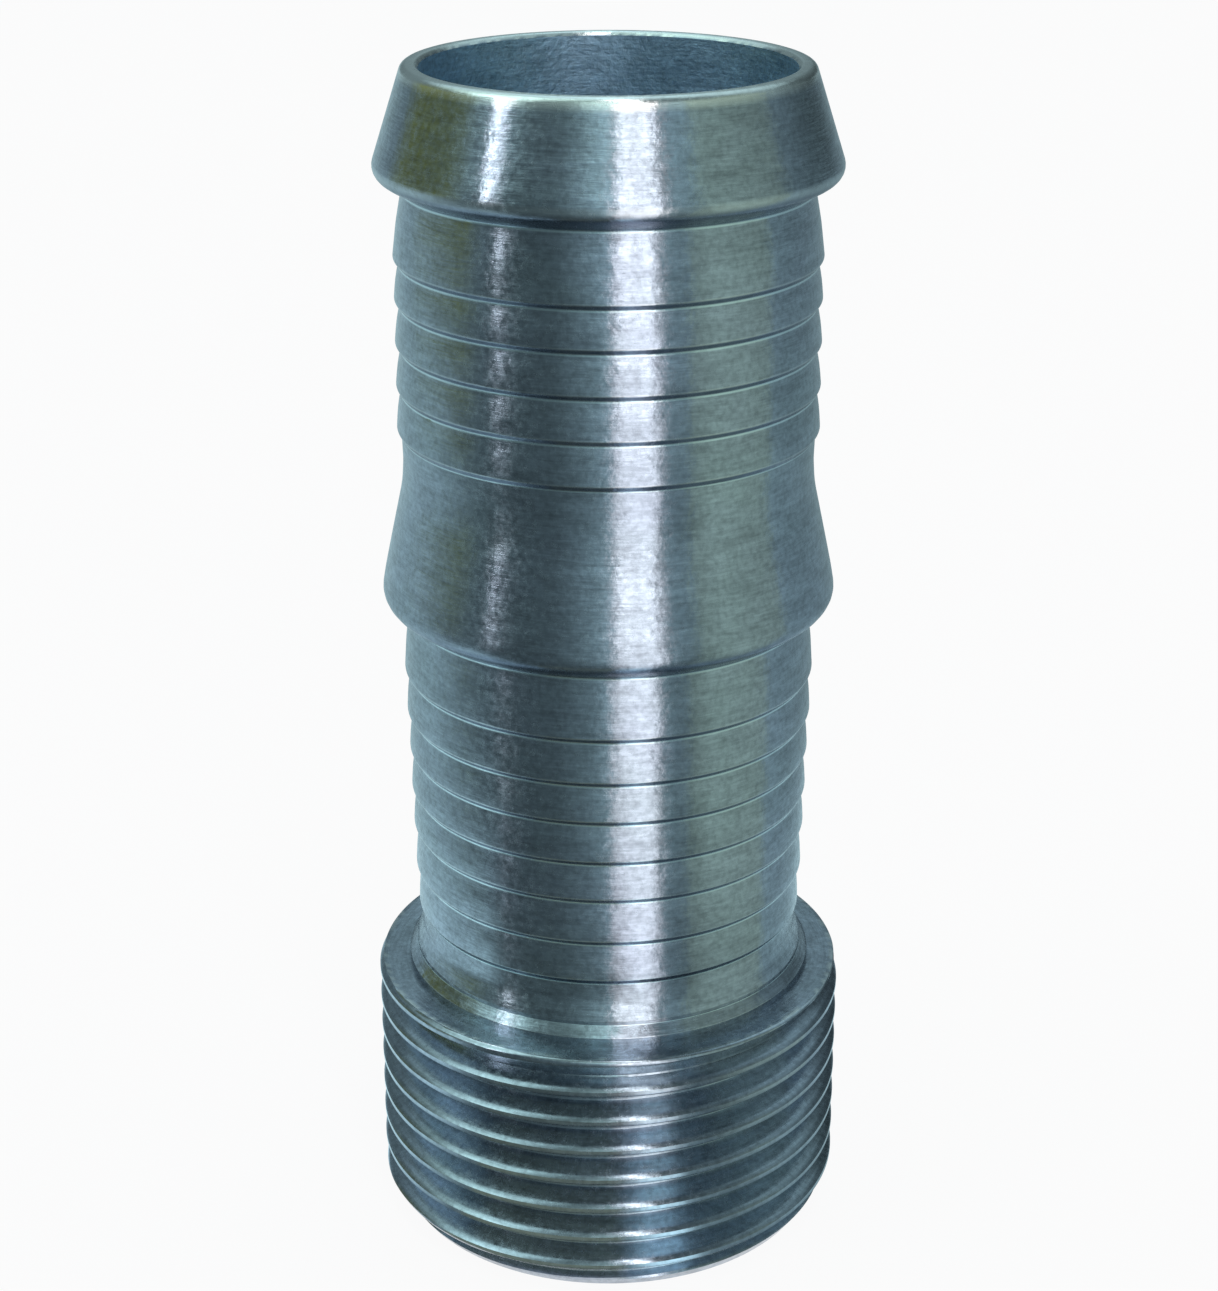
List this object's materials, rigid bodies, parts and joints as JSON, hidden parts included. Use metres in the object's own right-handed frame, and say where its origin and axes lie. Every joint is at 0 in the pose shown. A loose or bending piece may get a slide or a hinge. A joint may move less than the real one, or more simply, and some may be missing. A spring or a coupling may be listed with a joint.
{
  "type": "hose tail",
  "caption": "Turned steel hose tail: a male parallel pipe thread at one end, a stem with two large barbs and fine gripping rings at the other, bored right through.",
  "frame": {"origin": "centre of the threaded end's face, which the part stands on", "axes": "+Z along the bore, from the threaded end to the hose end; the thread is cut about Z, and X and Y are otherwise alike"},
  "size_m": [0.0332, 0.0332, 0.0825],
  "materials": {
    "zinc_plated_steel": "bright zinc plating over turned steel, semi-gloss, with fine marks round the axis"
  },
  "bodies": {
    "root": {"hose_tail": "zinc_plated_steel"}
  },
  "joints": []
}
